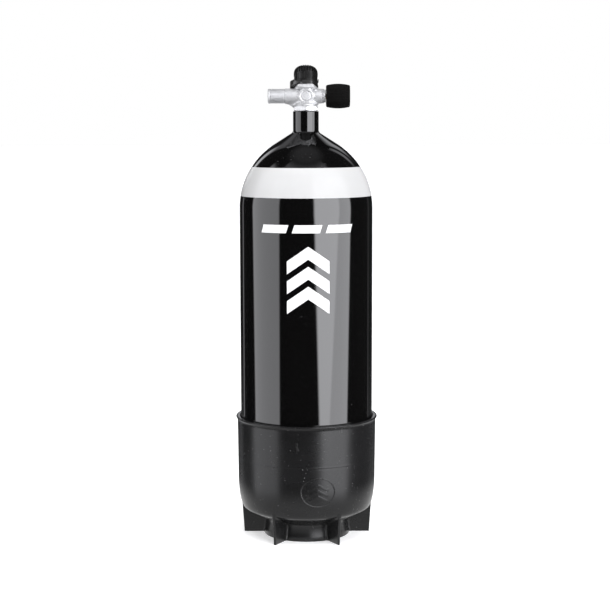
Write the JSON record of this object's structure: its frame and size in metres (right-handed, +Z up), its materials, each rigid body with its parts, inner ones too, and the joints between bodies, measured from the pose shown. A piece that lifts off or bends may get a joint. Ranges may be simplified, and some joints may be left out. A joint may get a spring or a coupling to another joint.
{
  "type": "scuba tank",
  "caption": "Round-bottomed steel diving cylinder standing in a finned boot, with a cross-tube valve, hand knob and strapped outlet cap.",
  "frame": {"origin": "centre of the boot's foot ring, on the floor it stands on", "axes": "+Z up along the cylinder, front at -Y, the valve's hand knob on +X and its threaded stub on -X"},
  "size_m": [0.2184, 0.2184, 0.7224],
  "materials": {
    "tank_paint": "gloss black paint with a white band on the shoulder",
    "boot_plastic": "satin moulded plastic",
    "valve_chrome": "satin chrome plate over forged brass",
    "valve_brass": "machined",
    "seal_rubber": "smooth",
    "strap_rubber": "semi-gloss moulded rubber",
    "cap_plastic": "satin",
    "grip_rubber": "matte",
    "knob_plastic": "satin",
    "spring_steel": "bright stainless",
    "seat_nylon": "smooth"
  },
  "bodies": {
    "cylinder": {"tank_cylinder": "tank_paint", "tank_boot": "boot_plastic", "valve_body": "valve_chrome", "neck_o_ring": "seal_rubber", "dip_tube": "valve_brass", "port_plug": "valve_chrome", "port_plug_o_ring": "seal_rubber", "gland_nut": "valve_chrome", "gland_o_ring": "seal_rubber", "cap_strap": "strap_rubber"},
    "collar": {"strap_collar": "strap_rubber"},
    "cap": {"outlet_cap": "cap_plastic", "outlet_cap_o_ring": "seal_rubber"},
    "knob": {"spindle": "valve_brass", "spindle_o_ring_inner": "seal_rubber", "spindle_o_ring_outer": "seal_rubber", "thrust_washer": "seat_nylon", "knob_core": "knob_plastic", "knob_grip": "grip_rubber", "knob_spring": "spring_steel", "knob_washer": "spring_steel", "knob_nut": "spring_steel"},
    "seat": {"seat_carrier": "valve_brass", "seat_insert": "seat_nylon"}
  },
  "joints": [
    {"name": "cap_lift", "type": "slide", "parent": "cylinder", "child": "collar", "axis": [0, 0.5, 0.866], "range_m": [0, 0.01]},
    {"name": "cap_turn", "type": "hinge", "parent": "collar", "child": "cap", "pos_m": [0, 0, 0.676], "axis": [0, 0.5, 0.866], "range_deg": [0, 1980]},
    {"name": "knob_turn", "type": "hinge", "parent": "cylinder", "child": "knob", "pos_m": [0, 0, 0.676], "axis": [1, 0, 0], "range_deg": [0, 900]},
    {"name": "seat_travel", "type": "slide", "parent": "knob", "child": "seat", "axis": [1, 0, 0], "range_m": [0, 0.0026]}
  ],
  "couplings": [
    {"joint": "cap_lift", "follows": "cap_turn", "m_per_rad": 0.0002887},
    {"joint": "seat_travel", "follows": "knob_turn", "m_per_rad": 0.00015915}
  ]
}
